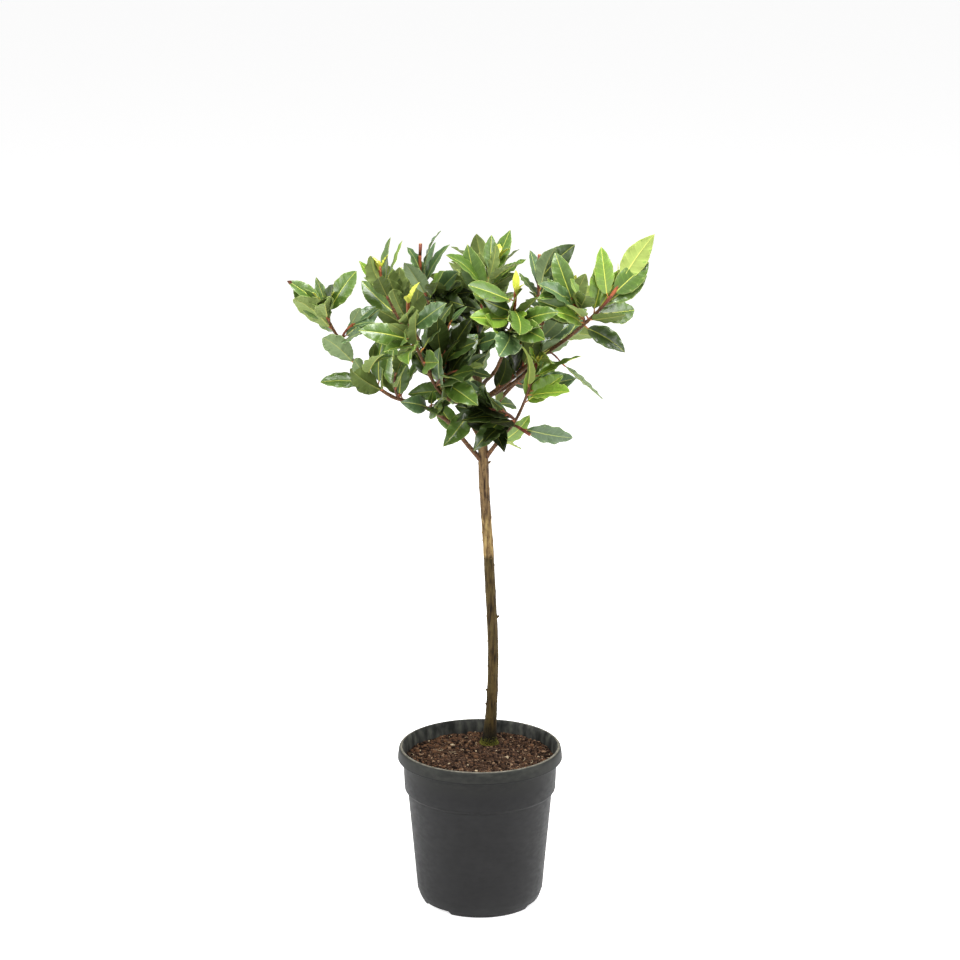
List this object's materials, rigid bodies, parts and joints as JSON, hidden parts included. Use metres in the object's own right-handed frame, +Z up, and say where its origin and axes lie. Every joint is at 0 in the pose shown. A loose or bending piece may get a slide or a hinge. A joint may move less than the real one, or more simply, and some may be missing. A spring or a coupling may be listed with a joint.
{
  "type": "standard bay topiary",
  "caption": "Young bay tree grown as a standard: a bare slender trunk and an open leafy head of forking boughs, in a dark round nursery pot of compost.",
  "frame": {"origin": "centre of the pot's flat underside, on the level floor it stands on", "axes": "+Z up along the pot's axis; -Y is the plant's front, +X to the right seen from the front"},
  "size_m": [0.403, 0.324, 0.788],
  "materials": {
    "pot_plastic": "satin",
    "compost": "matte",
    "trunk_bark": "matte",
    "bough_bark": "satin",
    "bay_leaf": "satin"
  },
  "bodies": {
    "root": {"pot": "pot_plastic", "compost": "compost", "trunk": "trunk_bark", "bough_left_long": "bough_bark", "bough_left_front": "bough_bark", "bough_left_upper": "bough_bark", "bough_left_top": "bough_bark", "bough_front": "bough_bark", "bough_right_top": "bough_bark", "bough_right_long": "bough_bark", "bough_right_low": "bough_bark", "bough_back_left": "bough_bark", "bough_back": "bough_bark", "bough_back_right": "bough_bark", "bough_back_low": "bough_bark", "foliage_left_tip": "bay_leaf", "foliage_left_mid": "bay_leaf", "foliage_left_lower": "bay_leaf", "foliage_left_inner": "bay_leaf", "foliage_left_low": "bay_leaf", "foliage_left_front": "bay_leaf", "foliage_left_upper": "bay_leaf", "foliage_left_top": "bay_leaf", "foliage_heart_left": "bay_leaf", "foliage_heart_front": "bay_leaf", "foliage_heart": "bay_leaf", "foliage_core": "bay_leaf", "foliage_core_right": "bay_leaf", "foliage_top": "bay_leaf", "foliage_front_top": "bay_leaf", "foliage_front_low": "bay_leaf", "foliage_right_top": "bay_leaf", "foliage_right_inner": "bay_leaf", "foliage_right_mid": "bay_leaf", "foliage_right_tip": "bay_leaf", "foliage_right_low": "bay_leaf", "foliage_low_right": "bay_leaf", "foliage_low": "bay_leaf", "foliage_back_left": "bay_leaf", "foliage_back_top": "bay_leaf", "foliage_back_right": "bay_leaf", "foliage_back_inner": "bay_leaf", "foliage_back_low": "bay_leaf", "foliage_back_low_right": "bay_leaf"}
  },
  "joints": []
}
